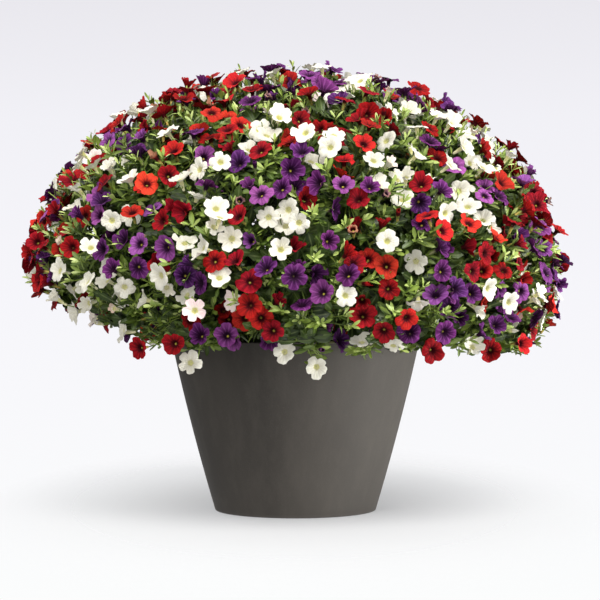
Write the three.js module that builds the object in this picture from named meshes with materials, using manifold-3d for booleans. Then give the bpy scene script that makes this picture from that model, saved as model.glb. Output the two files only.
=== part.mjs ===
// Potted calibrachoa: a mound of red, white and violet million bells over a round patio pot.
// Millimetres, +Z up. The origin is the centre of the pot's underside; the mound's fullest side is +X.
import * as THREE from "three";
import { mergeVertices } from "three/addons/utils/BufferGeometryUtils.js";
import Module from "manifold-3d";

const wasm = await Module();
wasm.setup();

// ---- Driving dimensions ----------------------------------------------------------------------

const POT_HEIGHT = 205;
const POT_FOOT_RADIUS = 97;
const POT_RIM_RADIUS = 150;
const POT_BULGE = 2.1; // how far the wall swells past a straight cone, half way up
const POT_WALL = 4.5;
const POT_FLOOR = 6;
const POT_SIDES = 32;
const DRAIN_HOLES = 4;
const DRAIN_HOLE_RADIUS = 6;
const DRAIN_CIRCLE_RADIUS = 48;

const SOIL_TOP = 188;
const CLEARANCE = 0.35; // between any two pieces that lie against each other

// The mound is an ellipsoid above its waist; below it, the skirt drops least at -X and most at +X.
const WAIST_HEIGHT = 290;
const MOUND_RADIUS = 322;
const CROWN_RISE = 246;
const SKIRT_DROP_LEAST = 90;
const SKIRT_DROP_MOST = 210;
const SKIRT_END_WIDEST = THREE.MathUtils.degToRad(137);
const SKIRT_END_TUCK = THREE.MathUtils.degToRad(20);
const DROOP = 0.4; // share of the polar angle past the waist by which the blooms turn down

const CROWN_SPRAYS = 40;
const SKIRT_SPRAYS = 14; // a ring of arching sprays just above the hem
const CROWN_END = THREE.MathUtils.degToRad(24); // the crown's sprays end this far above the hem
const SKIRT_RING = THREE.MathUtils.degToRad(9);
const SKIRT_RING_WAVE = THREE.MathUtils.degToRad(2.5);
const WHORL_DEPTH = 40; // from the blooms' faces in to the middle of a spray's whorl of leaves
const WHORL_BACK = 9;
const WHORL_FRONT = 13;
const WHORL_REACH = 62;
const WHORL_CORNERS = 8;
const WHORL_NOTCH = 0.86; // how far out two leaves of a whorl stay joined, as a share of their reach
const WHORL_GAP = 0.5; // from a whorl to the plane half way to the next one
const LEAST_LEAF_WIDTH = 24;
const ROOT_LEAST = 13; // how far from the middle of its whorl a shoot is rooted
const ROOT_MOST = 28;
const STEM_RADIUS = 2.6;
const STEM_STEPS = 4;
const STEM_ARCH = 14; // how much a stem rises past its head before it nods down to it
const STEM_OFFSET = 10; // a stem joins its whorl this far above the middle
const STEM_SINK = 12; // depth of the hole in the soil that a stem stands in
const STEM_SPREAD = 112; // radius of the disc of soil that the stems stand on

const SHOOT_COUNT = 362; // blooms and leaf rosettes together
const SHOOT_CANDIDATES = 14; // places tried for each one, of which the loneliest is taken
const SHOOT_HEIGHT_JITTER = 7;
const SHOOT_TILT = 0.84;
const SHOOT_BENDS = 3; // tries at turning a shoot clear of the next spray
const SPRAY_NEIGHBOURHOOD = 230;
const SCATTER_SEED = 2611;
const SHOOT_SEED = 77;
const LEAFY_SHARE = 0.2;
const LEAFY_SPRAY_EVERY = 9; // every ninth spray is a young one with leaves alone

const BLOOM = { tip: 17.6, notch: 12.4, cup: 1.6, throat: 5.5, tube: 10, neck: 2.8 };
const ROSETTE = { tip: 20, notch: 7, cup: -2, throat: 0.5, tube: 6, neck: 2.8 };
const LOBES = 5;

// Flower colours by region of the mound: azimuth in degrees, height in mm, colour.
const DRIFTS = [
  [-90, 510, "violet"], [-60, 480, "white"], [-120, 490, "red"], [-100, 440, "white"],
  [-75, 430, "red"], [-40, 440, "white"], [-140, 430, "violet"], [-85, 380, "violet"],
  [-60, 370, "red"], [-30, 390, "red"], [-110, 370, "red"], [-135, 370, "white"],
  [-160, 400, "white"], [-170, 330, "red"], [-95, 320, "white"], [-70, 310, "violet"],
  [-45, 310, "red"], [-20, 320, "violet"], [0, 280, "red"], [-120, 310, "violet"],
  [-145, 310, "red"], [-105, 250, "red"], [-85, 250, "violet"], [-60, 240, "violet"],
  [-35, 240, "white"], [-130, 240, "white"], [180, 390, "violet"], [20, 400, "white"],
  [15, 470, "violet"], [50, 340, "red"], [45, 250, "violet"], [60, 430, "red"],
  [85, 370, "white"], [90, 280, "violet"], [95, 480, "white"], [110, 430, "violet"],
  [115, 330, "red"], [130, 260, "white"], [140, 380, "red"], [150, 460, "white"],
  [155, 310, "violet"], [175, 500, "red"],
];

// Blooms on long shoots that hang clear of the hem: place of the face, and the way it looks.
const TRAILERS = [
  { place: [-11, -232, 197], look: [0.05, -1, 0.1] },
  { place: [24, -222, 179], look: [0.1, -1, -0.2] },
  { place: [-116, -216, 184], look: [-0.3, -1, 0] },
  { place: [-132, -234, 206], look: [-0.4, -1, 0.1] },
  { place: [-172, -222, 200], look: [-0.7, -1, -0.1] },
  { place: [152, -228, 197], look: [0.5, -1, -0.2] },
  { place: [283, -62, 218], look: [1, -0.6, -0.2] },
  { place: [-212, 80, 214], look: [-1, 0.3, -0.2] },
  { place: [90, 262, 196], look: [0.3, 1, -0.1] },
  { place: [-120, 238, 200], look: [-0.5, 1, 0] },
];

const MATERIALS = {
  pot: { color: 0x5c5650, roughness: 0.75 },
  soil: { color: 0x2c2018, roughness: 1 },
  foliage: { color: 0x5a7532, roughness: 0.7 },
  red: { color: 0xa81a1c, roughness: 0.7 },
  white: { color: 0xece8dd, roughness: 0.7 },
  violet: { color: 0x5b2f72, roughness: 0.7 },
};

// ---- Small tools -----------------------------------------------------------------------------

const UP = new THREE.Vector3(0, 0, 1);
const GOLDEN_ANGLE = Math.PI * (3 - Math.sqrt(5));

// A repeatable stream of numbers from 0 to 1.
function seededRandom(seed) {
  let state = seed;
  return () => {
    state = (state + 0x6d2b79f5) | 0;
    let mixed = Math.imul(state ^ (state >>> 15), 1 | state);
    mixed = (mixed + Math.imul(mixed ^ (mixed >>> 7), 61 | mixed)) ^ mixed;
    return ((mixed ^ (mixed >>> 14)) >>> 0) / 4294967296;
  };
}

function solidOf(geometry) {
  const bare = geometry.clone();
  bare.deleteAttribute("normal");
  bare.deleteAttribute("uv");
  const merged = mergeVertices(bare, 1e-4);
  return new wasm.Manifold(new wasm.Mesh({
    numProp: 3,
    vertProperties: merged.attributes.position.array,
    triVerts: new Uint32Array(merged.index.array),
  }));
}

function meshOf(name, solid, material) {
  const { vertProperties, triVerts } = solid.getMesh();
  const geometry = new THREE.BufferGeometry();
  geometry.setAttribute("position", new THREE.BufferAttribute(vertProperties, 3));
  geometry.setIndex(new THREE.BufferAttribute(triVerts, 1));
  const mesh = new THREE.Mesh(geometry, new THREE.MeshStandardMaterial(MATERIALS[material]));
  mesh.name = name;
  return mesh;
}

function union(solids) {
  return solids.reduce((joined, solid) => joined.add(solid));
}

// Joins pieces into one body, with any hollow that they seal filled in.
function fuse(solids) {
  const bodies = union(solids).decompose();
  return bodies.reduce((largest, body) => (body.volume() > largest.volume() ? body : largest));
}

// ---- Pot and soil ----------------------------------------------------------------------------

function potRadius(height) {
  const up = height / POT_HEIGHT;
  const cone = THREE.MathUtils.lerp(POT_FOOT_RADIUS, POT_RIM_RADIUS, up);
  return cone + POT_BULGE * 4 * up * (1 - up);
}

function lathe(outline) {
  const points = outline.map(([radius, height]) => new THREE.Vector2(radius, height));
  const turned = new THREE.LatheGeometry(points, POT_SIDES);
  turned.rotateX(Math.PI / 2);
  return solidOf(turned);
}

function makePot() {
  const middle = POT_HEIGHT / 2;
  const wall = lathe([
    [0, 0],
    [POT_FOOT_RADIUS - 1.5, 0],
    [potRadius(1.5), 1.5],
    [potRadius(middle), middle],
    [POT_RIM_RADIUS, POT_HEIGHT - 1.5],
    [POT_RIM_RADIUS - 1.5, POT_HEIGHT],
    [POT_RIM_RADIUS - POT_WALL, POT_HEIGHT],
    [potRadius(middle) - POT_WALL, middle],
    [potRadius(POT_FLOOR) - POT_WALL, POT_FLOOR],
    [0, POT_FLOOR],
  ]);
  const drains = Array.from({ length: DRAIN_HOLES }, (_, index) => {
    const azimuth = ((index + 0.5) * 2 * Math.PI) / DRAIN_HOLES;
    const drill = new THREE.CylinderGeometry(DRAIN_HOLE_RADIUS, DRAIN_HOLE_RADIUS, 4 * POT_FLOOR, 8);
    drill.rotateX(Math.PI / 2);
    drill.translate(DRAIN_CIRCLE_RADIUS * Math.cos(azimuth), DRAIN_CIRCLE_RADIUS * Math.sin(azimuth), 0);
    return solidOf(drill);
  });
  return wall.subtract(union(drains));
}

function makeSoil(stemHoles) {
  const edge = (height) => [potRadius(height) - POT_WALL - CLEARANCE, height];
  const bottom = POT_FLOOR + CLEARANCE;
  const mix = lathe([
    [0, bottom],
    edge(bottom),
    edge(POT_HEIGHT / 2),
    edge(SOIL_TOP),
    [0, SOIL_TOP],
  ]);
  return mix.subtract(union(stemHoles)).simplify(0.02);
}

// ---- The mound's surface ---------------------------------------------------------------------

// 1 at +X, where the skirt hangs fullest, and 0 at -X.
function fullness(azimuth) {
  return (0.5 + 0.5 * Math.cos(azimuth)) ** 0.7;
}

function skirtEnd(azimuth) {
  return SKIRT_END_WIDEST - SKIRT_END_TUCK * fullness(azimuth);
}

function surfacePoint(polar, azimuth) {
  const skirtDrop = THREE.MathUtils.lerp(SKIRT_DROP_LEAST, SKIRT_DROP_MOST, fullness(azimuth));
  const rise = polar < Math.PI / 2 ? CROWN_RISE : skirtDrop;
  const radius = MOUND_RADIUS * Math.sin(polar);
  return new THREE.Vector3(
    radius * Math.cos(azimuth),
    radius * Math.sin(azimuth),
    WAIST_HEIGHT + rise * Math.cos(polar),
  );
}

// The way a bloom looks out: square to the crown, and only a little down below the waist.
function outward(polar, azimuth) {
  const waist = Math.PI / 2;
  const square = Math.atan2(CROWN_RISE * Math.sin(polar), MOUND_RADIUS * Math.cos(polar));
  const lean = polar < waist ? square : waist + DROOP * (polar - waist);
  return new THREE.Vector3(
    Math.sin(lean) * Math.cos(azimuth),
    Math.sin(lean) * Math.sin(azimuth),
    Math.cos(lean),
  );
}

// The polar angle above which the given share of the mound's area lies, down to an end angle.
function polarAtShare(share, end) {
  const steps = 200;
  const areas = [0];
  for (let step = 1; step <= steps; step += 1) {
    const high = surfacePoint((end * (step - 1)) / steps, Math.PI / 2);
    const low = surfacePoint((end * step) / steps, Math.PI / 2);
    areas.push(areas[step - 1] + (high.y + low.y) * high.distanceTo(low));
  }
  const passed = areas.findIndex((area) => area > share * areas[steps]);
  return (end * passed) / steps;
}

// Random places spread evenly: each new one is the loneliest of a few candidates.
function scatter(count, taken, random) {
  const fullArea = MOUND_RADIUS * MOUND_RADIUS;
  const places = [];
  const draw = () => {
    for (;;) {
      const polar = random() * SKIRT_END_WIDEST;
      const azimuth = random() * 2 * Math.PI;
      const point = surfacePoint(polar, azimuth);
      const step = point.distanceTo(surfacePoint(polar + 0.01, azimuth)) / 0.01;
      const area = MOUND_RADIUS * Math.sin(polar) * step;
      if (polar < skirtEnd(azimuth) && random() * fullArea < area) return { polar, azimuth, point };
    }
  };
  while (places.length < count) {
    let best = null;
    for (let tried = 0; tried < SHOOT_CANDIDATES; tried += 1) {
      const drawn = draw();
      drawn.room = Math.min(...taken.map((other) => other.distanceTo(drawn.point)), Infinity);
      if (!best || drawn.room > best.room) best = drawn;
    }
    taken.push(best.point);
    places.push(best);
  }
  return places;
}

function driftColour(point) {
  let nearest = null;
  for (const [degrees, height, colour] of DRIFTS) {
    const azimuth = THREE.MathUtils.degToRad(degrees);
    const rise = height > WAIST_HEIGHT ? CROWN_RISE : SKIRT_DROP_MOST;
    const polar = Math.acos(THREE.MathUtils.clamp((height - WAIST_HEIGHT) / rise, -1, 1));
    const distance = surfacePoint(polar, azimuth).distanceTo(point);
    if (!nearest || distance < nearest.distance) nearest = { distance, colour };
  }
  return nearest.colour;
}

// ---- Blooms, leaves, stems -------------------------------------------------------------------

// A trumpet on a three-sided stalk: pointed root, neck, a rim of lobes and notches, and the throat.
// The same form with long lobes and deep notches is a rosette of leaves.
function trumpet(form, root, face, look, twist) {
  const side = new THREE.Vector3().crossVectors(look, UP).normalize();
  const top = new THREE.Vector3().crossVectors(side, look);
  const spoke = (centre, radius, angle, forward) => centre.clone()
    .addScaledVector(side, radius * Math.cos(angle))
    .addScaledVector(top, radius * Math.sin(angle))
    .addScaledVector(look, forward);
  const rimCount = 2 * LOBES;
  const corners = [root];
  for (let corner = 0; corner < 3; corner += 1) {
    corners.push(spoke(face, form.neck, twist + (corner * 2 * Math.PI) / 3, -form.tube));
  }
  for (let rim = 0; rim < rimCount; rim += 1) {
    const isTip = rim % 2 === 0;
    const radius = isTip ? form.tip : form.notch;
    const forward = isTip ? -form.cup : 0;
    corners.push(spoke(face, radius, twist + (rim * 2 * Math.PI) / rimCount, forward));
  }
  corners.push(spoke(face, 0, 0, -form.throat));

  const faces = [];
  const neck = (corner) => 1 + (corner % 3);
  const rimAt = (rim) => 4 + (rim % rimCount);
  const throat = 4 + rimCount;
  for (let corner = 0; corner < 3; corner += 1) faces.push(0, neck(corner), neck(corner + 1));
  let held = 0;
  for (let rim = 0; rim < rimCount; rim += 1) {
    const wanted = Math.round(((rim + 1) * 3) / rimCount);
    faces.push(neck(held), rimAt(rim), rimAt(rim + 1));
    if (wanted > held) faces.push(neck(held), rimAt(rim + 1), neck(wanted));
    held = wanted;
    faces.push(rimAt(rim), throat, rimAt(rim + 1));
  }
  const geometry = new THREE.BufferGeometry().setFromPoints(corners);
  geometry.setIndex(faces);
  return solidOf(geometry);
}

// Keeps the part of an outline that reaches no further than the limit along a direction.
function clip(outline, direction, limit) {
  const kept = [];
  outline.forEach((corner, index) => {
    const next = outline[(index + 1) % outline.length];
    const here = corner.dot(direction) - limit;
    const there = next.dot(direction) - limit;
    if (here <= 0) kept.push(corner);
    if (here * there < 0) kept.push(corner.clone().lerp(next, here / (here - there)));
  });
  return kept;
}

// The outline of a spray's whorl of leaves, round its centre: the ground that is nearer to it than
// to its neighbours, above the hem.
function whorlOutline(spray, sprays) {
  let outline = Array.from({ length: WHORL_CORNERS }, (_, index) => {
    const angle = ((index + 0.5) * 2 * Math.PI) / WHORL_CORNERS;
    return spray.side.clone().multiplyScalar(WHORL_REACH * Math.cos(angle))
      .addScaledVector(spray.top, WHORL_REACH * Math.sin(angle));
  });
  for (const other of sprays) {
    if (other === spray) continue;
    const towards = other.centre.clone().sub(spray.centre);
    const halfWay = towards.length() / 2 - WHORL_GAP;
    outline = clip(outline, towards.normalize(), halfWay);
  }
  outline = clip(outline, UP.clone().negate(), spray.centre.z - spray.hem);
  return outline.filter((corner, index) => (
    corner.distanceTo(outline.at(index - 1)) > LEAST_LEAF_WIDTH
  ));
}

// A whorl of leaves round the stem's end: a leaf to each corner of the outline, notched between.
function leafWhorl(spray, sprays) {
  const rim = whorlOutline(spray, sprays).flatMap((corner, index, corners) => {
    const next = corners[(index + 1) % corners.length];
    return [corner, corner.clone().lerp(next, 0.5).multiplyScalar(WHORL_NOTCH)];
  });
  const back = spray.look.clone().multiplyScalar(-WHORL_BACK);
  const front = spray.look.clone().multiplyScalar(WHORL_FRONT);
  const faces = rim.flatMap((_, index) => {
    const next = (index + 1) % rim.length;
    return [index, next, rim.length, next, index, rim.length + 1];
  });
  const corners = [...rim, front, back].map((corner) => corner.clone().add(spray.centre));
  const geometry = new THREE.BufferGeometry().setFromPoints(corners);
  geometry.setIndex(faces);
  return solidOf(geometry);
}

// A stem rises from the soil and arches out to the back of its head, in one upright plane.
function stem(spray, radius, extraDepth) {
  const { standing, look, top } = spray;
  const end = spray.centre.clone().addScaledVector(top, STEM_OFFSET);
  const foot = standing.clone().setZ(SOIL_TOP - STEM_SINK - extraDepth);
  const lift = standing.clone().setZ(THREE.MathUtils.lerp(SOIL_TOP, end.z, 0.45) + 30);
  const reach = end.distanceTo(lift) * 0.4;
  const approach = end.clone().addScaledVector(look, -reach);
  approach.z = Math.max(approach.z, POT_HEIGHT + 25) + STEM_ARCH;
  const path = new THREE.CubicBezierCurve3(foot, lift, approach, end);
  const section = new THREE.Shape();
  for (let corner = 0; corner < 3; corner += 1) {
    const angle = (corner * 2 * Math.PI) / 3;
    section[corner ? "lineTo" : "moveTo"](radius * Math.cos(angle), radius * Math.sin(angle));
  }
  return solidOf(new THREE.ExtrudeGeometry(section, {
    steps: STEM_STEPS,
    bevelEnabled: false,
    extrudePath: path,
  }));
}

function makeSpray(polar, azimuth, across) {
  const look = outward(polar, azimuth);
  const crown = surfacePoint(polar, azimuth);
  const hem = surfacePoint(skirtEnd(azimuth), azimuth).z;
  const centre = crown.clone().addScaledVector(look, -WHORL_DEPTH);
  const standing = new THREE.Vector3(across * Math.cos(azimuth), across * Math.sin(azimuth), SOIL_TOP);
  const side = new THREE.Vector3(-Math.sin(azimuth), Math.cos(azimuth), 0);
  const top = new THREE.Vector3().crossVectors(look, side);
  return { look, side, top, hem, crown, centre, standing, solids: [] };
}

// The crown's sprays spiral out from the top; the skirt's hang in a wavy ring below them.
function makeSprays() {
  const total = CROWN_SPRAYS + SKIRT_SPRAYS;
  return Array.from({ length: total }, (_, index) => {
    if (index < CROWN_SPRAYS) {
      const azimuth = index * GOLDEN_ANGLE;
      const polar = polarAtShare((index + 0.5) / CROWN_SPRAYS, skirtEnd(azimuth) - CROWN_END);
      return makeSpray(polar, azimuth, STEM_SPREAD * Math.sqrt((index + 0.5) / total));
    }
    const azimuth = ((index + 0.5) * 2 * Math.PI) / SKIRT_SPRAYS;
    const wave = index % 2 ? SKIRT_RING_WAVE : -SKIRT_RING_WAVE;
    return makeSpray(skirtEnd(azimuth) - SKIRT_RING + wave, azimuth, STEM_SPREAD);
  });
}

function overlaps(solid, others) {
  return others.some((other) => solid.minGap(other, 1) < CLEARANCE);
}

// Grows one bloom or rosette from its whorl. It is bent clear of the next spray, or left out.
function growShoot(spray, sprays, form, face, look, twist) {
  const offset = face.clone().sub(spray.centre);
  const sideways = offset.clone().addScaledVector(spray.look, -offset.dot(spray.look));
  const spread = THREE.MathUtils.clamp(0.55 * sideways.length(), ROOT_LEAST, ROOT_MOST);
  const root = spray.centre.clone().addScaledVector(sideways.normalize(), spread);
  const others = sprays
    .filter((other) => other !== spray)
    .filter((other) => other.centre.distanceTo(spray.centre) < SPRAY_NEIGHBOURHOOD)
    .flatMap((other) => other.solids);
  const lean = face.clone().sub(root).normalize();
  for (let bend = 0; bend <= SHOOT_BENDS; bend += 1) {
    const turned = look.clone().lerp(lean, bend / SHOOT_BENDS).normalize();
    const grown = trumpet(form, root, face, turned, twist);
    if (!overlaps(grown, others)) {
      spray.solids.push(grown);
      return;
    }
  }
}

// ---- Assembly --------------------------------------------------------------------------------

const sprays = makeSprays();
for (const [index, spray] of sprays.entries()) {
  spray.isLeafy = index % LEAFY_SPRAY_EVERY === LEAFY_SPRAY_EVERY - 1;
  spray.solids.push(leafWhorl(spray, sprays));
  spray.solids.push(stem(spray, STEM_RADIUS, 0));
}

function nearestSpray(point) {
  return sprays.reduce((best, spray) => (
    spray.crown.distanceTo(point) < best.crown.distanceTo(point) ? spray : best
  ));
}

const trailerFaces = TRAILERS.map(({ place }) => new THREE.Vector3(...place));
for (const [index, { look }] of TRAILERS.entries()) {
  const face = trailerFaces[index];
  growShoot(nearestSpray(face), sprays, BLOOM, face, new THREE.Vector3(...look).normalize(), index);
}

const places = scatter(SHOOT_COUNT, [...trailerFaces], seededRandom(SCATTER_SEED));
const random = seededRandom(SHOOT_SEED);
for (const { polar, azimuth, point } of places) {
  const spray = nearestSpray(point);
  const hasLeavesOnly = random() < LEAFY_SHARE || spray.isLeafy;
  const look = outward(polar, azimuth);
  const face = point.clone().addScaledVector(look, (random() - 0.6) * SHOOT_HEIGHT_JITTER);
  const tilt = new THREE.Vector3(random() - 0.5, random() - 0.5, random() - 0.2);
  look.addScaledVector(tilt, SHOOT_TILT).normalize();
  growShoot(spray, sprays, hasLeavesOnly ? ROSETTE : BLOOM, face, look, 2 * Math.PI * random());
}

const plant = new THREE.Group();
const stemHoles = sprays.map((spray) => stem(spray, STEM_RADIUS + 2 * CLEARANCE, CLEARANCE));
plant.add(meshOf("pot", makePot(), "pot"));
plant.add(meshOf("soil", makeSoil(stemHoles), "soil"));
for (const [index, spray] of sprays.entries()) {
  const number = String(index + 1).padStart(2, "0");
  const colour = driftColour(spray.crown);
  if (spray.isLeafy) plant.add(meshOf(`leafy_spray_${number}`, fuse(spray.solids), "foliage"));
  else plant.add(meshOf(`${colour}_spray_${number}`, fuse(spray.solids), colour));
}

export default plant;
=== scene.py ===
"""Potted calibrachoa: a mound of red, white and violet million bells over a round patio pot.

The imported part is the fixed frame. Each spray of the part is replaced by a finer one, rooted, branched
and flowering at the same places, and the pot by a smooth one. Sizes are in millimetres until a mesh is
made.
"""

import math

import bpy
import numpy as np
from mathutils.kdtree import KDTree
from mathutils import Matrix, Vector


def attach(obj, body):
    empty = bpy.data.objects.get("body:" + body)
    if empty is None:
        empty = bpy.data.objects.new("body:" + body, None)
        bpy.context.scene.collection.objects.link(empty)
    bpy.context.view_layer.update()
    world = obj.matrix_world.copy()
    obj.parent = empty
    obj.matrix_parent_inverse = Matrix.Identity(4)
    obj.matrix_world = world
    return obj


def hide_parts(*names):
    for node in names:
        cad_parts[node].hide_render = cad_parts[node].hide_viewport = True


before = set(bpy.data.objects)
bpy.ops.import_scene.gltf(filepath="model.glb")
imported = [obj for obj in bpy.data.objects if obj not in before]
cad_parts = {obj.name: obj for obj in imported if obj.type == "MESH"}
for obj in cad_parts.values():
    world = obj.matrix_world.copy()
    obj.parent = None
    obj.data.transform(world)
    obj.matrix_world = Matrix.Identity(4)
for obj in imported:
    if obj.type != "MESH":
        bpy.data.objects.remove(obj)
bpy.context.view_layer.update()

MM = 0.001
TURN = 2 * math.pi
UP = np.array([0.0, 0.0, 1.0])
COLOURS = ("red", "white", "violet")
RED, WHITE, VIOLET = range(len(COLOURS))

# ---- Sizes shared with the part ----

POT_HEIGHT = 205
POT_FOOT_RADIUS = 97
POT_RIM_RADIUS = 150
POT_BULGE = 2.1
POT_WALL = 4.5
POT_FLOOR = 6
DRAIN_HOLES = 4
DRAIN_HOLE_RADIUS = 6
DRAIN_CIRCLE_RADIUS = 48
SOIL_TOP = 188

WAIST_HEIGHT = 290
MOUND_RADIUS = 322
CROWN_RISE = 246
SKIRT_DROP_LEAST = 90
SKIRT_DROP_MOST = 210
SKIRT_END_WIDEST = math.radians(137)
SKIRT_END_TUCK = math.radians(20)
DROOP = 0.4

CROWN_SPRAYS = 40
SKIRT_SPRAYS = 14
CROWN_END = math.radians(24)
SKIRT_RING = math.radians(9)
SKIRT_RING_WAVE = math.radians(2.5)
WHORL_DEPTH = 40
ROOT_SHARE = 0.55
ROOT_LEAST = 13
ROOT_MOST = 28
STEM_APPROACH = 0.4
STEM_LIFT_SHARE = 0.45
STEM_LIFT = 30
STEM_RIM_ROOM = 25
STEM_ARCH = 14
STEM_OFFSET = 10
STEM_SINK = 12
STEM_SPREAD = 112
LEAFY_SHARE = 0.2
LEAFY_SPRAY_EVERY = 9

SHOOT_COUNT = 362
SHOOT_CANDIDATES = 14
SHOOT_HEIGHT_JITTER = 7
SHOOT_SINK_SHARE = 0.6
SHOOT_TILT = 0.84
SCATTER_SEED = 2611
SHOOT_SEED = 77

# Flower colours by region of the mound: azimuth in degrees, height in mm, colour.
DRIFTS = [
    (-90, 510, VIOLET), (-60, 480, WHITE), (-120, 490, RED), (-100, 440, WHITE),
    (-75, 430, RED), (-40, 440, WHITE), (-140, 430, VIOLET), (-85, 380, VIOLET),
    (-60, 370, RED), (-30, 390, RED), (-110, 370, RED), (-135, 370, WHITE),
    (-160, 400, WHITE), (-170, 330, RED), (-95, 320, WHITE), (-70, 310, VIOLET),
    (-45, 310, RED), (-20, 320, VIOLET), (0, 280, RED), (-120, 310, VIOLET),
    (-145, 310, RED), (-105, 250, RED), (-85, 250, VIOLET), (-60, 240, VIOLET),
    (-35, 240, WHITE), (-130, 240, WHITE), (180, 390, VIOLET), (20, 400, WHITE),
    (15, 470, VIOLET), (50, 340, RED), (45, 250, VIOLET), (60, 430, RED),
    (85, 370, WHITE), (90, 280, VIOLET), (95, 480, WHITE), (110, 430, VIOLET),
    (115, 330, RED), (130, 260, WHITE), (140, 380, RED), (150, 460, WHITE),
    (155, 310, VIOLET), (175, 500, RED),
]

# Blooms on long shoots that hang clear of the hem: place of the face, the way it looks, colour.
TRAILERS = [
    ((-11, -232, 197), (0.05, -1, 0.1), WHITE),
    ((24, -222, 179), (0.1, -1, -0.2), WHITE),
    ((-116, -216, 184), (-0.3, -1, 0), WHITE),
    ((-132, -234, 206), (-0.4, -1, 0.1), RED),
    ((-172, -222, 200), (-0.7, -1, -0.1), RED),
    ((152, -228, 197), (0.5, -1, -0.2), RED),
    ((283, -62, 218), (1, -0.6, -0.2), RED),
    ((-212, 80, 214), (-1, 0.3, -0.2), VIOLET),
    ((90, 262, 196), (0.3, 1, -0.1), WHITE),
    ((-120, 238, 200), (-0.5, 1, 0), RED),
]

# ---- What this scene adds ----

# Blooms and leaf shoots between the part's own: how many, and more round the hem; tries for a free place;
# heights over the mound's surface; how much they turn to the horizon, by chance and upward.
BLOOM_GROWTH = {
    "seed": 5150, "count": 1330, "fringe": 90, "tries": 8,
    "heights": (-25, 3), "forward": 0.15, "tilt": 1.75, "rise": 0,
}
LEAF_GROWTH = {
    "seed": 909, "count": 1150, "fringe": 200, "tries": 4,
    "heights": (-18, 5), "forward": 0, "tilt": 0.9, "rise": 0.35,
}
FINE_CANDIDATES = 7
FRINGE_DROPS = (28, -26)  # the lowest end so far below the hem: where the skirt is short, and full
HEM_MARGINS = (math.radians(4), math.radians(8))  # likewise, how far above the hem the others end
HEM_RETREAT = (75, 24)  # likewise, how far the underside draws in
HEM_TUMBLE = 0.8  # how much more the shoots tilt towards the hem
HEM_BRANCH_TRIM = 0.8  # how much shorter side branches are at the hem where the skirt is short
WIDEST = 324  # no added shoot ends farther from the middle
PROUD_SHARE = 0.1
PROUD_HEIGHT = 9
CROWN_RETREAT = 9  # how much lower the added shoots end at the top
LUMP_HEIGHT = 9  # the mound's own unevenness
LUMP_SIZE = 24
LUMP_START = (0, 1, 2)
DETAIL_SEED = 31337

PATCH_COUNT = 430  # families of neighbouring blooms of one colour
PATCH_SEED = 405
DRIFT_SHARE = 0.4
PATCH_SHARE = 0.62
RED_SHARE, WHITE_SHARE = 0.335, 0.31  # where chance decides; the rest is violet
# The most striking groups of one colour: azimuth in degrees, height in mm, colour.
ACCENTS = [
    (-71, 300, RED), (-43, 300, RED), (-68, 235, RED), (-66, 464, RED), (-122, 465, RED),
    (-92, 240, VIOLET), (-112, 373, WHITE), (-110, 245, WHITE), (-53, 385, WHITE),
    (60, 300, WHITE), (120, 380, VIOLET), (160, 280, RED), (20, 350, VIOLET),
]
ACCENT_REACH = 52
ACCENT_SHARE = 0.9

BLOOM_RADIUS = 13.1
BUD, WILTED, HALF_OPEN = range(3)
STAGE_SHARES = (0.05, 0.025, 0.13)  # of all blooms; the others are open
STAGE_SIZES = np.array([0.15, 0.4, 0.68, 1.0])
WILTED_TONE = 1.5
LOBES = 5
SPOKES_PER_LOBE = 6
SPOKES = SPOKES_PER_LOBE * LOBES
TUBE_SIDES = 10
# Room that nothing else may enter: past a bloom's rim, behind its limb, before its face for stems and
# leaves, and round its tube, between two heights over its face.
RIM_ROOM = 0.5
LIMB_ROOM = 1.6
FACE_ROOM = 14
TUBE_ROOM = 4.5
TUBE_SPAN = (-15, 1)

# ---- Random numbers and small tools ----


def seeded_random(seed):
    """The part's own repeatable stream of numbers from 0 to 1."""
    state = seed
    word = 0xFFFFFFFF

    def draw():
        nonlocal state
        state = (state + 0x6D2B79F5) & word
        mixed = ((state ^ (state >> 15)) * (1 | state)) & word
        mixed = ((mixed + (((mixed ^ (mixed >> 7)) * (61 | mixed)) & word)) & word) ^ mixed
        return (mixed ^ (mixed >> 14)) / 4294967296

    return draw


def unit(vectors):
    lengths = np.linalg.norm(vectors, axis=-1, keepdims=True)
    return vectors / np.maximum(lengths, 1e-9)


def lerp(start, end, share):
    return start + (end - start) * share


def distances(points, point):
    return np.linalg.norm(points - point, axis=1)


def bezier(p0, p1, p2, p3, steps):
    """Points along cubic curves, whose corners are arrays of (curves, 3)."""
    t = np.linspace(0, 1, steps)[None, :, None]
    corners = [np.asarray(p, float)[:, None, :] for p in (p0, p1, p2, p3)]
    weights = ((1 - t) ** 3, 3 * t * (1 - t) ** 2, 3 * t * t * (1 - t), t**3)
    return sum(weight * corner for weight, corner in zip(weights, corners))


def side_and_top(looks):
    """Two directions square to each look: level, and upward."""
    side = unit(np.cross(looks, UP))
    return side, np.cross(side, looks)


def around(side, top, angles):
    return side * np.cos(angles)[..., None] + top * np.sin(angles)[..., None]


# ---- The mound's surface ----


def fullness(azimuth):
    """1 at +X, where the skirt hangs fullest, and 0 at -X."""
    return np.maximum(0.5 + 0.5 * np.cos(azimuth), 0) ** 0.7


def skirt_end(azimuth):
    return SKIRT_END_WIDEST - SKIRT_END_TUCK * fullness(azimuth)


def surface_point(polar, azimuth):
    drop = lerp(SKIRT_DROP_LEAST, SKIRT_DROP_MOST, fullness(azimuth))
    rise = np.where(polar < math.pi / 2, CROWN_RISE, drop)
    radius = MOUND_RADIUS * np.sin(polar)
    height = WAIST_HEIGHT + rise * np.cos(polar)
    return np.stack([radius * np.cos(azimuth), radius * np.sin(azimuth), height], axis=-1)


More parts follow.
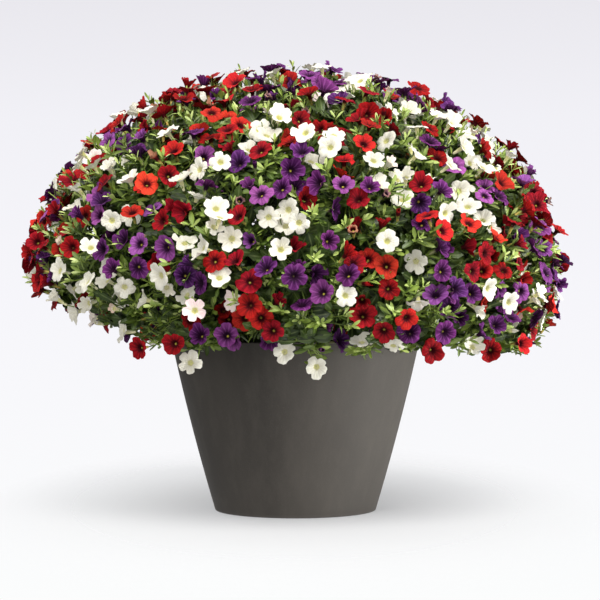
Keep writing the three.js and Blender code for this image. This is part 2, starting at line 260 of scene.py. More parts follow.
def outward(polar, azimuth):
    """The way a bloom looks out: square to the crown, and only a little down below the waist."""
    waist = math.pi / 2
    square = np.arctan2(CROWN_RISE * np.sin(polar), MOUND_RADIUS * np.cos(polar))
    lean = np.where(polar < waist, square, waist + DROOP * (polar - waist))
    level = np.sin(lean)
    return np.stack([level * np.cos(azimuth), level * np.sin(azimuth), np.cos(lean)], axis=-1)


def polar_at_share(share, end):
    """The polar angle above which the given share of the mound's area lies, down to an end angle."""
    steps = 200
    ring = surface_point(end * np.arange(steps + 1) / steps, np.full(steps + 1, math.pi / 2))
    slant = np.linalg.norm(np.diff(ring, axis=0), axis=1)
    areas = np.concatenate([[0], np.cumsum((ring[1:, 1] + ring[:-1, 1]) * slant)])
    return end * int(np.argmax(areas > share * areas[-1])) / steps


def scatter(count, taken, random, candidates, margins=(0.0, 0.0)):
    """Random places spread evenly, a margin above the hem: each is the loneliest of a few candidates."""
    full_area = MOUND_RADIUS * MOUND_RADIUS
    points = np.empty((len(taken) + count, 3))
    points[: len(taken)] = np.reshape(taken, (-1, 3))

    def draw():
        while True:
            polar = random() * SKIRT_END_WIDEST
            azimuth = random() * TURN
            point, lower = surface_point(np.array([polar, polar + 0.01]), np.array([azimuth, azimuth]))
            area = MOUND_RADIUS * math.sin(polar) * np.linalg.norm(point - lower) / 0.01
            end = skirt_end(azimuth) - lerp(*margins, fullness(azimuth))
            if polar < end and random() * full_area < area:
                return polar, azimuth, point

    places = []
    for filled in range(len(taken), len(points)):
        best_room = -1.0
        for _ in range(candidates):
            polar, azimuth, point = draw()
            offsets = points[:filled] - point
            room = (offsets * offsets).sum(1).min() if filled else math.inf
            if room > best_room:
                best_room = room
                best = (polar, azimuth, point)
        points[filled] = best[2]
        places.append(best)
    return places


def fringe(count, random):
    """Places by chance a little below the hem or above it, all the way round."""
    places = []
    for _ in range(count):
        azimuth = random() * TURN
        polar = skirt_end(azimuth)
        drop = lerp(*FRINGE_DROPS, fullness(azimuth)) * random()
        places.append((polar, azimuth, surface_point(polar, azimuth) - UP * drop))
    return places


def drift_points(rows):
    """The places on the mound of groups of blooms."""
    azimuths, heights, _ = np.array(rows, float).T
    rises = np.where(heights > WAIST_HEIGHT, CROWN_RISE, SKIRT_DROP_MOST)
    polars = np.arccos(np.clip((heights - WAIST_HEIGHT) / rises, -1, 1))
    return surface_point(polars, np.radians(azimuths))


DRIFT_POINTS = drift_points(DRIFTS)
ACCENT_POINTS = drift_points(ACCENTS)


def drift_colour(point):
    return DRIFTS[distances(DRIFT_POINTS, point).argmin()][2]


# ---- Sprays ----


class Spray:
    """One of the part's leafy stems: where it stands in the soil, and where its whorl is."""

    def __init__(self, index):
        total = CROWN_SPRAYS + SKIRT_SPRAYS
        if index < CROWN_SPRAYS:
            azimuth = index * math.pi * (3 - math.sqrt(5))
            end = skirt_end(azimuth) - CROWN_END
            polar = polar_at_share((index + 0.5) / CROWN_SPRAYS, end)
            across = STEM_SPREAD * math.sqrt((index + 0.5) / total)
        else:
            azimuth = (index + 0.5) * TURN / SKIRT_SPRAYS
            wave = SKIRT_RING_WAVE if index % 2 else -SKIRT_RING_WAVE
            polar = skirt_end(azimuth) - SKIRT_RING + wave
            across = STEM_SPREAD
        self.number = f"{index + 1:02d}"
        self.look = outward(polar, azimuth)
        self.crown = surface_point(polar, azimuth)
        self.hem = surface_point(skirt_end(azimuth), azimuth)[2]
        self.centre = self.crown - self.look * WHORL_DEPTH
        self.standing = np.array([across * math.cos(azimuth), across * math.sin(azimuth), SOIL_TOP])
        self.side = np.array([-math.sin(azimuth), math.cos(azimuth), 0.0])
        self.top = np.cross(self.look, self.side)
        self.branch_share = 1 - HEM_BRANCH_TRIM * (1 - fullness(azimuth)) * max(0.0, -math.cos(polar))
        self.is_leafy = index % LEAFY_SPRAY_EVERY == LEAFY_SPRAY_EVERY - 1
        colour = "leafy" if self.is_leafy else COLOURS[drift_colour(self.crown)]
        self.node = f"{colour}_spray_{self.number}"


SPRAYS = [Spray(index) for index in range(CROWN_SPRAYS + SKIRT_SPRAYS)]
CROWNS = np.array([spray.crown for spray in SPRAYS])
CENTRES = np.array([spray.centre for spray in SPRAYS])
LOOKS = np.array([spray.look for spray in SPRAYS])


def nearest_spray(points):
    gaps = np.linalg.norm(np.asarray(points)[:, None, :] - CROWNS[None], axis=2)
    return gaps.argmin(axis=1)


class Shoots:
    """Ends of side shoots: place, look, twist and spray of each."""

    def __init__(self, rows):
        places, looks, twists = zip(*rows)
        self.place = np.array(places, float)
        self.look = unit(np.array(looks, float))
        self.twist = np.array(twists, float)
        self.owner = nearest_spray(self.place)

    def __len__(self):
        return len(self.place)

    def roots(self):
        """Where each one leaves its spray's whorl, by the part's rule."""
        offset = self.place - CENTRES[self.owner]
        looks = LOOKS[self.owner]
        sideways = offset - looks * (offset * looks).sum(1, keepdims=True)
        spread = np.clip(ROOT_SHARE * np.linalg.norm(sideways, axis=1), ROOT_LEAST, ROOT_MOST)
        return CENTRES[self.owner] + unit(sideways) * spread[:, None]

    def paths(self, back, steps):
        """Curves from the middle of the whorl to a little behind each end."""
        end = self.place - self.look * np.asarray(back)[:, None]
        reach = SHOOT_APPROACH * np.linalg.norm(end - CENTRES[self.owner], axis=1)[:, None]
        return bezier(CENTRES[self.owner], self.roots(), end - self.look * reach, end, steps)


def part_shoots():
    """The blooms and rosettes that the part itself has, with the same draws."""
    blooms = [(place, look, index) for index, (place, look, _) in enumerate(TRAILERS)]
    rosettes = []
    faces = [place for place, _, _ in TRAILERS]
    places = scatter(SHOOT_COUNT, faces, seeded_random(SCATTER_SEED), SHOOT_CANDIDATES)
    owners = nearest_spray([point for _, _, point in places])
    random = seeded_random(SHOOT_SEED)
    for (polar, azimuth, point), owner in zip(places, owners):
        has_leaves_only = random() < LEAFY_SHARE or SPRAYS[owner].is_leafy
        look = outward(polar, azimuth)
        face = point + look * (random() - SHOOT_SINK_SHARE) * SHOOT_HEIGHT_JITTER
        tilt = np.array([random() - 0.5, random() - 0.5, random() - 0.2])
        look = unit(look + tilt * SHOOT_TILT)
        row = (face, look, TURN * random())
        (rosettes if has_leaves_only else blooms).append(row)
    return blooms, rosettes


RIM_POINTS = 12
RIM_ANGLES = np.arange(RIM_POINTS) * TURN / RIM_POINTS


def bloom_rims(places, looks):
    """Points round the rim of each bloom."""
    side, top = side_and_top(looks)
    return places[:, None] + around(side[:, None], top[:, None], RIM_ANGLES) * BLOOM_RADIUS


def any_cut(points, places, looks, room=LIMB_ROOM):
    """Whether any row of points cuts a bloom's limb or tube, or comes into the room before its face."""
    offsets = points - places[:, None]
    height = (offsets * looks[:, None]).sum(2)
    out = np.sqrt(np.maximum((offsets * offsets).sum(2) - height * height, 0))
    over = out < BLOOM_RADIUS + RIM_ROOM
    in_limb = over & (height > -LIMB_ROOM) & (height < room)
    in_tube = (out < TUBE_ROOM) & (height > TUBE_SPAN[0]) & (height < TUBE_SPAN[1])
    crosses = (over & (height > 0)).any(1) & (over & (height < 0)).any(1)
    return bool((in_limb | in_tube).any() or crosses.any())


STALK_STEPS = 16
STALK_BACK = 18
SHOOT_APPROACH = 0.3  # share of a shoot's reach over which it turns to its end's look
STEM_REACH = BLOOM_RADIUS + 12  # a stem farther off than this along any axis can't cut a bloom
BLOOM_REACH = 2.6 * BLOOM_RADIUS  # nor can another bloom that is farther off than this


class Placed:
    """The blooms that have their place, and the stems of all shoots that have theirs."""

    def __init__(self, blooms, rosettes):
        self.places = [np.array(row[0], float) for row in blooms]
        self.looks = [unit(np.array(row[1], float)) for row in blooms]
        self.stems = [stem_to(row) for row in blooms + rosettes]

    def near(self, points, reach):
        """Places and looks of the blooms near any of the points."""
        places = np.array(self.places)
        is_near = (np.abs(places[:, None] - points).max(2) < reach).any(1)
        return places[is_near], np.array(self.looks)[is_near]

    def is_clear_of_stem(self, stem):
        return not any_cut(stem[None], *self.near(stem, STEM_REACH), FACE_ROOM)

    def is_clear_of_bloom(self, row):
        place, look = row[0][None], row[1][None]
        places, looks = self.near(place, BLOOM_REACH)
        stems = np.array(self.stems)
        stems = stems[(np.abs(stems - place).max(2) < STEM_REACH).any(1)]
        return not (
            any_cut(bloom_rims(place, look), places, looks)
            or any_cut(bloom_rims(places, looks), place, look)
            or any_cut(stems, place, look, FACE_ROOM)
        ) and self.is_clear_of_stem(stem_to(row))

    def take_bloom(self, row):
        """Keeps a bloom that cuts no other bloom or stem, and says whether it did."""
        is_clear = self.is_clear_of_bloom(row)
        if is_clear:
            self.places.append(row[0])
            self.looks.append(row[1])
            self.stems.append(stem_to(row))
        return is_clear


def stem_to(row):
    return Shoots([row]).paths([STALK_BACK], STALK_STEPS)[0]


def free_shoot(polar, azimuth, point, growth, random):
    """An end near the mound's surface, a way to look and a twist, all by chance; a few stand proud."""
    look = outward(polar, azimuth)
    level = np.array([math.cos(azimuth), math.sin(azimuth), 0.0])
    height = lerp(*growth["heights"], random())
    below = max(0.0, -math.cos(polar))
    height -= lerp(*HEM_RETREAT, fullness(azimuth)) * below
    height -= CROWN_RETREAT * max(0.0, math.cos(polar))
    height += LUMP_HEIGHT * np.prod(np.sin(point / LUMP_SIZE + LUMP_START))
    if random() < PROUD_SHARE:
        height += PROUD_HEIGHT
    bend = np.array([random() - 0.5, random() - 0.5, random() - 0.3]) * growth["tilt"]
    bend *= 1 + HEM_TUMBLE * below
    place = point + look * height
    place[:2] *= min(1.0, WIDEST / np.linalg.norm(place[:2]))
    look = unit(look + level * growth["forward"] + bend)
    if growth["rise"]:
        look = unit(look + UP * growth["rise"])
    return place, look, TURN * random()


def added_shoots(growth, taken, is_free):
    """Shoots between those taken, and round the hem: each is the first of a few tries that is free."""
    random = seeded_random(growth["seed"])
    ends = scatter(growth["count"], taken, random, FINE_CANDIDATES, HEM_MARGINS)
    rows = []
    for polar, azimuth, point in ends + fringe(growth["fringe"], random):
        for _ in range(growth["tries"]):
            row = free_shoot(polar, azimuth, point, growth, random)
            if is_free(row):
                rows.append(row)
                break
    return rows


# ---- Mesh building ----


class Batch:
    """Copies of one mesh layout: corners (copies, corners, 3), shared faces, values at the corners."""

    def __init__(self, owner, corners, faces, **values):
        self.owner = np.asarray(owner)
        self.is_leaf = corners.shape[1] in LEAF_CORNERS
        self.corners = corners
        self.faces = np.asarray(faces)
        self.values = {key: np.broadcast_to(value, corners.shape[:2]) for key, value in values.items()}

    def of(self, mask):
        """Flat corners, faces and values of the chosen copies."""
        corners = self.corners[mask]
        copies, size = corners.shape[:2]
        faces = self.faces[None] + (np.arange(copies) * size)[:, None, None]
        values = {key: value[mask].reshape(-1) for key, value in self.values.items()}
        return corners.reshape(-1, 3), faces.reshape(-1, 3), values


# Values at a mesh's corners that the materials read: how far along the petal or leaf, how far from the
# middle of its lobe or from its midrib, and a tone for each bloom, leaf or stem.
VALUE_NAMES = ("along", "fold", "tone")


def new_object(name, data):
    created = bpy.data.objects.new(name, data)
    bpy.context.scene.collection.objects.link(created)
    return created


def make_piece(name, parts, material):
    """One smooth-shaded mesh from several (corners, faces, values), riding on the root body."""
    corners = np.concatenate([part[0] for part in parts]) * MM
    starts = np.cumsum([0] + [len(part[0]) for part in parts[:-1]])
    faces = np.concatenate([part[1] + start for part, start in zip(parts, starts)])
    mesh = bpy.data.meshes.new(name)
    mesh.from_pydata(corners.tolist(), [], faces.tolist(), shade_flat=False)
    for key in VALUE_NAMES:
        layer = mesh.attributes.new(key, "FLOAT", "POINT")
        values = np.concatenate([part[2][key] for part in parts])
        layer.data.foreach_set("value", values.astype(np.float32))
    mesh.validate()
    mesh.materials.append(material)
    piece = new_object(name, mesh)
    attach(piece, "root")
    return piece


STEM_ALONG = 0.3
TUBE_HELPER = (0.31, 0.23, 0.92)  # a direction that no stem runs along


def bands(start, rings, sides):
    """Two triangles to each pair of neighbours of equal rings that follow each other."""
    faces = []
    for low in range(start, start + (rings - 1) * sides, sides):
        high = low + sides
        for corner in range(sides):
            turned = (corner + 1) % sides
            faces.append((low + corner, low + turned, high + turned))
            faces.append((low + corner, high + turned, high + corner))
    return faces


def tubes(owner, paths, radii, sides, tone):
    """Thin round stems along paths (copies, steps, 3), with radii from start to end."""
    copies, steps = paths.shape[:2]
    tangents = unit(np.gradient(paths, axis=1))
    across = unit(np.cross(tangents, TUBE_HELPER))
    square = np.cross(tangents, across)
    ring = around(across[:, :, None], square[:, :, None], np.arange(sides) * TURN / sides)
    corners = paths[:, :, None] + ring * np.linspace(*radii, steps)[:, None, None]
    tone = np.broadcast_to(np.reshape(tone, (-1, 1)), (copies, steps * sides))
    faces = bands(0, steps, sides)
    return Batch(owner, corners.reshape(copies, -1, 3), faces, along=STEM_ALONG, fold=0.5, tone=tone)


def stalks(owner, paths, radii, tones, rng):
    return tubes(owner, paths, radii, 3, rng.uniform(*tones, len(owner)))


# ---- Leaves ----

# Share of the length and of the half width at each station between a leaf's base and its tip.
LEAF = ((0.22, 0.42), (0.55, 0.98), (0.84, 0.74))
PLAIN_LEAF = ((0.35, 0.72), (0.74, 1.0))
SEPAL = ((0.4, 1.0),)
LEAF_CORNERS = (3 * len(LEAF) + 2, 3 * len(PLAIN_LEAF) + 2)  # by which a batch of leaves is known
LEAF_CUP = 0.1  # how far a leaf's edges stand up, as a share of its half width
SHOOT_LEAF_RISE = 0.8  # how much of a leaf's downward slant is turned up again, on shoots
BRANCH_LEAF_RISE = 1.2  # and on side branches
LEAF_TURN = 2.4  # about the golden angle
LEAF_TURN_JITTER = 0.35
LEAF_SPOT_JITTER = 0.15  # steps of the path
LEAF_LEAN_JITTER = 10  # degrees
LEAF_TONE_JITTER = 0.13
LEAF_SIZES_ON_SHOOTS = (0.78, 1.18)  # shares of the length given
LEAF_WIDTHS_ON_SHOOTS = (0.25, 0.36)  # shares of the length
LEAF_CURL_ON_SHOOTS = (0.16, 0.12)  # mean and spread
LEAF_FACE_UP = 0.35  # how much the upper sides turn to the sky

# Leaves keep clear of blooms: the least gap behind a bloom's limb, and the shares of its radius that stay
# open at its face and at the far end of the room before it. The leaves to test lie in a ball.
LEAF_GAP = 2.5
OPEN_SHARES = (1.05, 0.55)
BALL_AHEAD = 4  # its middle lies this far before the face
BALL_MARGIN = 6  # and it reaches this far past the rim


def leaves(stations, owner, base, direction, normal, length, width, curl, tone):
    """Spatulate leaves: each runs from its base along direction, with its upper side to normal."""
    count = len(base)
    direction = unit(direction)
    normal = unit(normal - direction * (normal * direction).sum(1, keepdims=True))
    across = np.cross(direction, normal)
    length, width, curl = (np.broadcast_to(value, count)[:, None] for value in (length, width, curl))
    middle = [(share, side * half, abs(side)) for share, half in stations for side in (-1, 0, 1)]
    marks = [(0, 0, 0), *middle, (1, 0, 0.3)]  # share of the length, offset in half widths, fold
    rows = []
    for share, offset, _ in marks:
        sag = curl * length * share * share
        lift = normal * (LEAF_CUP * abs(offset) * width - sag)
        rows.append(base + direction * length * share + across * offset * width / 2 + lift)
    faces = [(0, 2, 1), (0, 3, 2)]
    for low in range(1, 3 * len(stations) - 3):
        if low % 3:
            faces.append((low, low + 1, low + 4))
            faces.append((low, low + 4, low + 3))
    last = len(rows) - 1
    faces += [(last - 3, last - 2, last), (last - 2, last - 1, last)]
    tone = np.broadcast_to(np.asarray(tone, float)[:, None], (count, len(rows)))
    alongs, _, folds = np.array(marks, float).T
    return Batch(owner, np.stack(rows, axis=1), faces, along=alongs, fold=folds, tone=tone)


def clear_of_blooms(batch, blooms):
    """The batch without the leaves that would cut a bloom or stand close before its face."""
    points = np.concatenate([batch.corners, batch.corners[:, batch.faces].mean(2)], axis=1)
    size = points.shape[1]
    tree = KDTree(points.shape[0] * size)
    for index, point in enumerate(points.reshape(-1, 3)):
        tree.insert(point, index)
    tree.balance()
    keep = np.ones(len(batch.owner), bool)
    shoots = blooms.shoots
    for place, look, radius, depth in zip(shoots.place, shoots.look, blooms.radius, blooms.depth):
        found = tree.find_range(place + look * BALL_AHEAD, radius + BALL_MARGIN)
        if not found:
            continue
        offsets = np.array([point for point, _, _ in found]) - place
        height = offsets @ look
        out = np.sqrt(np.maximum((offsets * offsets).sum(1) - height * height, 0))
        limb = -depth * np.maximum(1 - out / radius, 0) ** FLARE
        over = (height > limb - LEAF_GAP) & (height < FACE_ROOM)
        hides = over & (out < radius * lerp(*OPEN_SHARES, height / FACE_ROOM))
        keep[[found[i][1] // size for i in np.flatnonzero(hides)]] = False
    values = {key: value[keep] for key, value in batch.values.items()}
    return Batch(batch.owner[keep], batch.corners[keep], batch.faces, **values)


def point_on(paths, spots):
    """One point of each path (copies, steps, 3), at its spot counted in steps."""
    copies, steps = paths.shape[:2]
    spots = np.broadcast_to(spots, copies)
    low = np.clip(spots.astype(int), 0, steps - 2)
    rows = np.arange(copies)
    return lerp(paths[rows, low], paths[rows, low + 1], np.clip(spots - low, 0, 1)[:, None])


def leaves_along(shoots, paths, shares, lengths, leans, tones, rng):
    """Leaves up each shoot's path, each turned by the golden angle from the one below it."""
    count, steps = paths.shape[:2]
    tangents = unit(np.gradient(paths, axis=1))
    batches = []
    for index, (share, length, lean, tone) in enumerate(zip(shares, lengths, leans, tones)):
        spots = share * (steps - 1) + rng.uniform(-LEAF_SPOT_JITTER, LEAF_SPOT_JITTER, count)
        base = point_on(paths, spots)
        axis = unit(point_on(tangents, spots))
        side, top = side_and_top(axis)
        angle = shoots.twist + index * LEAF_TURN + rng.normal(0, LEAF_TURN_JITTER, count)
        out = around(side, top, angle)
        tilt = np.radians(lean + rng.normal(0, LEAF_LEAN_JITTER, count))[:, None]
        direction = axis * np.cos(tilt) + out * np.sin(tilt)
        direction[:, 2] += SHOOT_LEAF_RISE * np.maximum(-direction[:, 2], 0)
        normal = axis * np.sin(tilt) - out * np.cos(tilt) + UP * LEAF_FACE_UP
        size = length * rng.uniform(*LEAF_SIZES_ON_SHOOTS, count)
        curl = rng.normal(*LEAF_CURL_ON_SHOOTS, count)
        shade = np.clip(tone + rng.normal(0, LEAF_TONE_JITTER, count), 0, 1)
        width = size * rng.uniform(*LEAF_WIDTHS_ON_SHOOTS, count)
        batches.append(leaves(LEAF, shoots.owner, base, direction, normal, size, width, curl, shade))
    return batches


# ---- Blooms ----

SIZE_SPREAD = 0.055
DEPTHS, HALF_OPEN_DEPTHS, CLOSED_DEPTH = (4.0, 7.5), (7, 9), 5  # from the face down to the throat
DROOPS, HALF_OPEN_DROOP = (-1.2, 3.2), -1.0  # how far the rim hangs back
NOTCH, WHITE_NOTCH, HALF_OPEN_NOTCH = 0.2, 0.27, 0.36  # between two lobes, as a share of the radius
NOTCH_JITTER = (-0.07, 0.09)
LOBE_LENGTH_SPREAD = 0.065
LOBE_BEND_SPREAD = 2.2
RUFFLE_SPREAD = 0.42

LIMB_RINGS = (0.3, 0.62, 0.87, 1.0)  # shares of the way from throat to rim
FLARE = 1.7  # how sharply the trumpet opens
NOTCH_POWER = 3.2
BEND_POWER = 2.2
LOBE_ARCH = 1.3  # how far a lobe's edges lie below its middle
DENT, DENT_WIDTH = 0.035, 0.2  # in the rim at the middle of each lobe
GROOVE, GROOVE_WIDTH = 0.7, 0.25  # along the middle of each lobe
TUBE_RINGS = ((1.25, -12.0, 0.0), (1.7, -7.0, 0.1), (2.5, 0.0, 0.22))  # radius, height over throat, along
EYE_RADIUS = 2.25  # the eye closes the tube
EYE_DEPTH = 2.4
EYE_HEIGHT = 1
EYE_RIM_ALONG = -0.1
EYE_ALONG = -0.5
SEPAL_LEANS = (0.25, 0.6)
SEPAL_LENGTHS = (8, 11)
SEPAL_WIDTH = 0.24  # share of the length
SEPAL_CURL = -0.1
SEPAL_TONES = (0.45, 0.75)


class Blooms:
    """What a bloom needs past its shoot: size, opening, notches, colour and tone."""

    def __init__(self, shoots, colours, rng):
        count = len(shoots)
        self.shoots = shoots
        self.colour = np.asarray(colours)
        chance = rng.random(count)
        chance[: len(TRAILERS)] = 1.0
        stage = np.searchsorted(np.cumsum(STAGE_SHARES), chance, side="right")
        is_bud, is_wilted, is_half = stage == BUD, stage == WILTED, stage == HALF_OPEN
        self.radius = BLOOM_RADIUS * rng.normal(1, SIZE_SPREAD, count) * STAGE_SIZES[stage]
        self.depth = rng.uniform(*DEPTHS, count)
        self.depth[is_half] = rng.uniform(*HALF_OPEN_DEPTHS, is_half.sum())
        self.depth[is_bud | is_wilted] = CLOSED_DEPTH
        self.droop = rng.uniform(*DROOPS, count)
        self.droop[is_half] = HALF_OPEN_DROOP
        self.droop[is_bud] = 0
        self.notch = np.where(self.colour == WHITE, WHITE_NOTCH, NOTCH) + rng.uniform(*NOTCH_JITTER, count)
        self.notch[is_half] = HALF_OPEN_NOTCH
        self.tone = rng.random(count)
        self.tone[is_wilted] = WILTED_TONE
        self.tone[: len(TRAILERS)] = 0.5
        self.lobe_length = rng.normal(1, LOBE_LENGTH_SPREAD, (count, LOBES))
        self.lobe_bend = rng.normal(0, LOBE_BEND_SPREAD, (count, LOBES))
        self.ruffle = rng.normal(0, RUFFLE_SPREAD, (count, SPOKES))

    def mesh(self):
        """Trumpets: a thin tube, a flaring limb of five fused lobes, and a small eye in the throat."""
        shoots = self.shoots
        side, top = (way[:, None] for way in side_and_top(shoots.look))
        throat = -self.depth[:, None]
        rows, alongs, folds = [], [], []

        def add_ring(points, radius, height, along, fold=0.5):
            """Points round the axis, at distances from it and heights over the rim's middle."""
            shape = (len(shoots), points)
            radius, height = (np.broadcast_to(value, shape)[..., None] for value in (radius, height))
            flat = around(side, top, shoots.twist[:, None] + np.arange(points) * TURN / points)
            rows.append(shoots.place[:, None] + flat * radius + shoots.look[:, None] * height)
            alongs.extend([along] * points)
            folds.extend(np.broadcast_to(fold, points))

        for radius, height, along in TUBE_RINGS:
            add_ring(TUBE_SIDES, radius, throat + height, along)
        throat_radius, _, throat_along = TUBE_RINGS[-1]

        step = np.arange(SPOKES)
        place_in_lobe = step % SPOKES_PER_LOBE / SPOKES_PER_LOBE * 2
        fold = np.minimum(place_in_lobe, 2 - place_in_lobe)  # 0 mid-lobe and 1 between lobes
        lobe = (step + SPOKES_PER_LOBE // 2) // SPOKES_PER_LOBE % LOBES
        dent = DENT * np.exp(-((fold / DENT_WIDTH) ** 2))
        groove = GROOVE * np.exp(-((fold / GROOVE_WIDTH) ** 2))
        outline = 1 - self.notch[:, None] * fold**NOTCH_POWER - dent
        rim = self.radius[:, None] * outline * self.lobe_length[:, lobe]
        for share in LIMB_RINGS:
            flare = throat * (1 - share) ** FLARE
            bend = (self.lobe_bend[:, lobe] - self.droop[:, None]) * share**BEND_POWER
            crease = -LOBE_ARCH * fold**2 * share - groove * share
            height = flare + bend + crease + self.ruffle * share**2
            add_ring(SPOKES, lerp(throat_radius, rim, share), height, lerp(throat_along, 1, share), fold)

        add_ring(TUBE_SIDES, EYE_RADIUS, throat - EYE_DEPTH, EYE_RIM_ALONG)
        add_ring(1, 0, throat - EYE_DEPTH + EYE_HEIGHT, EYE_ALONG)

        corners = np.concatenate(rows, axis=1)
        tone = np.broadcast_to(self.tone[:, None], corners.shape[:2])
        alongs, folds = np.array(alongs), np.array(folds)
        return Batch(shoots.owner, corners, bloom_faces(), along=alongs, fold=folds, tone=tone)


def bloom_faces():
    limb = len(TUBE_RINGS) * TUBE_SIDES
    tube_top = limb - TUBE_SIDES
    eye = limb + len(LIMB_RINGS) * SPOKES
    share = SPOKES // TUBE_SIDES
    faces = bands(0, len(TUBE_RINGS), TUBE_SIDES)
    for corner in range(TUBE_SIDES):
        for here in range(corner * share, (corner + 1) * share):
            faces.append((tube_top + corner, limb + (here + 1) % SPOKES, limb + here))
        turned = (corner + 1) % TUBE_SIDES
        faces.append((tube_top + corner, tube_top + turned, limb + (corner + 1) * share % SPOKES))
    faces += bands(limb, len(LIMB_RINGS), SPOKES)
    for corner in range(TUBE_SIDES):
        faces.append((eye + corner, eye + (corner + 1) % TUBE_SIDES, eye + TUBE_SIDES))
    return faces


def calyces(blooms, rng):
    """Five narrow green sepals round the foot of each bloom's tube."""
    shoots = blooms.shoots
    foot = shoots.place - shoots.look * (blooms.depth - TUBE_RINGS[0][1])[:, None]
    side, top = side_and_top(shoots.look)
    batches = []
    for sepal in range(LOBES):
        out = around(side, top, shoots.twist + sepal * TURN / LOBES)
        lean = rng.uniform(*SEPAL_LEANS, len(shoots))[:, None]
        size = rng.uniform(*SEPAL_LENGTHS, len(shoots))
        direction = shoots.look + out * lean
        width = size * SEPAL_WIDTH
        tone = rng.uniform(*SEPAL_TONES, len(shoots))
        batches.append(leaves(SEPAL, shoots.owner, foot, direction, -out, size, width, SEPAL_CURL, tone))
    return batches


# ---- Colours ----


def bloom_colours(places):
    """Neighbours tend to share a colour: most take their patch's, and most patches their drift's."""
    random = seeded_random(PATCH_SEED)

    def by_chance():
        drawn = random()
        return int(drawn >= RED_SHARE) + int(drawn >= RED_SHARE + WHITE_SHARE)

    def patch_colour(point):
        gaps = distances(ACCENT_POINTS, point)
        if gaps.min() < ACCENT_REACH and random() < ACCENT_SHARE:
            return ACCENTS[gaps.argmin()][2]
        return drift_colour(point) if random() < DRIFT_SHARE else by_chance()

    patches = scatter(PATCH_COUNT, [], random, FINE_CANDIDATES)
    points = np.array([point for _, _, point in patches])
    patch_colours = [patch_colour(point) for point in points]
    colours = []
    for place in places:
        nearest = distances(points, place).argmin()
        colours.append(patch_colours[nearest] if random() < PATCH_SHARE else by_chance())
    return colours


# ---- Materials ----

# For red, white and violet petals: the colours from tube to edge, of lit streaks, of the palest blooms and
# of the eye; how far the throat's colour reaches; the tone from which blooms are paler; the strength of
# veins, seams and streaks; the range of hues as shares of the colour wheel; the share of blooms with a dark
# eye; and the glow that stands for light through the petals.
PETALS = {
    "tube": ((0.5, 0.4, 0.1), (0.8, 0.76, 0.4), (0.3, 0.3, 0.14)),
    "throat": ((0.05, 0.001, 0.003), (0.5, 0.48, 0.12), (0.018, 0.002, 0.02)),
    "limb": ((0.225, 0.0026, 0.0035), (0.73, 0.7, 0.595), (0.05, 0.005, 0.067)),
    "edge": ((0.355, 0.0052, 0.0054), (0.76, 0.735, 0.635), (0.152, 0.028, 0.182)),
    "streak": ((0.52, 0.014, 0.01), (0.82, 0.8, 0.72), (0.36, 0.13, 0.42)),
    "pale": ((0.8, 0.055, 0.025), (0.86, 0.62, 0.66), (0.34, 0.1, 0.38)),
    "eye": ((0.4, 0.33, 0.05), (0.3, 0.31, 0.05), (0.45, 0.38, 0.04)),
    "throat_reach": ((0.3, 0.48), (0.25, 0.36), (0.32, 0.52)),
    "pale_from": (0.55, 0.94, 0.66),
    "veins": (0.5, 0.1, 0.5),
    # Seams are dark lines between the lobes: partly the flower's own and partly painted shade in the
    # creases there.
    "seams": (0.85, 0.1, 0.75),
    "streaks": (0.35, 0.5, 0.25),
    "hues": ((-0.006, 0.001), (0.0, 0.0), (-0.015, 0.045)),
    "dark_eyes": (0.5, 0.0, 0.4),
    "glow": (0.0, 0.2, 0.01),
}
WILTED_COLOUR = (0.36, 0.22, 0.13)
FOOT_RUB, RIM_RUB = 4, 3  # heights of the pot's rubbed foot and rim
# Leaf colours by tone. The darkest ones, at the low tones of the leaves deep in the mound, are painted
# shade over the leaves' own deep green.
LEAF_GREENS = [
    (0.0, (0.014, 0.03, 0.004)),
    (0.35, (0.066, 0.114, 0.014)),
    (0.7, (0.31, 0.43, 0.068)),
    (1.0, (0.62, 0.72, 0.26)),
]


def plug(node, inputs):
    """Sets a node's inputs, each to a number, a colour or another node's output."""
    for key, value in inputs.items():
        socket = node.inputs[key]
        if isinstance(value, bpy.types.NodeSocket):
            node.id_data.links.new(value, socket)
        else:
            socket.default_value = (*value, 1) if socket.type == "RGBA" else value


def add(tree, kind, inputs=None, **settings):
    node = tree.nodes.new(kind)
    for key, value in settings.items():
        setattr(node, key, value)
    plug(node, inputs or {})
    return node


def mix(share, start, end):
    inputs = {0: share, 6: start, 7: end}
    return add(share.id_data, "ShaderNodeMix", inputs, data_type="RGBA").outputs[2]


def ramp(share, stops):
    """A colour ramp, whose stops are (position, colour)."""
    node = add(share.id_data, "ShaderNodeValToRGB", {"Fac": share})
    elements = node.color_ramp.elements
    while len(elements) < len(stops):
        elements.new(0.5)
    for element, (position, colour) in zip(elements, stops):
        element.position = position
        element.color = (*colour, 1)
    return node.outputs["Color"]


def value_of(tree, name):
    return add(tree, "ShaderNodeAttribute", attribute_name=name).outputs["Fac"]


def maths(operation, first, second=0.0):
    inputs = {0: first, 1: second}
    return add(first.id_data, "ShaderNodeMath", inputs, operation=operation).outputs[0]


def times(first, second):
    return maths("MULTIPLY", first, second)


def plus(first, second):
    return maths("ADD", first, second)


def noise(tree, scale, detail=3.0, roughness=0.5, coordinates=None):
    where = coordinates or add(tree, "ShaderNodeTexCoord").outputs["Object"]
    inputs = {"Vector": where, "Scale": scale, "Detail": detail, "Roughness": roughness}
    return add(tree, "ShaderNodeTexNoise", inputs).outputs["Fac"]


def stretch(value, low, high, to_low=0.0, to_high=1.0):
    inputs = {"Value": value, "From Min": low, "From Max": high, "To Min": to_low, "To Max": to_high}
    return add(value.id_data, "ShaderNodeMapRange", inputs).outputs["Result"]


def bump(height, strength, distance):
    inputs = {"Height": height, "Strength": strength, "Distance": distance}
    return add(height.id_data, "ShaderNodeBump", inputs).outputs["Normal"]


def spots(colour, pattern, low, high, share, tint):
    """The colour with a share of a tint where a pattern rises from low to high."""
    return mix(stretch(pattern, low, high, 0.0, share), colour, tint)


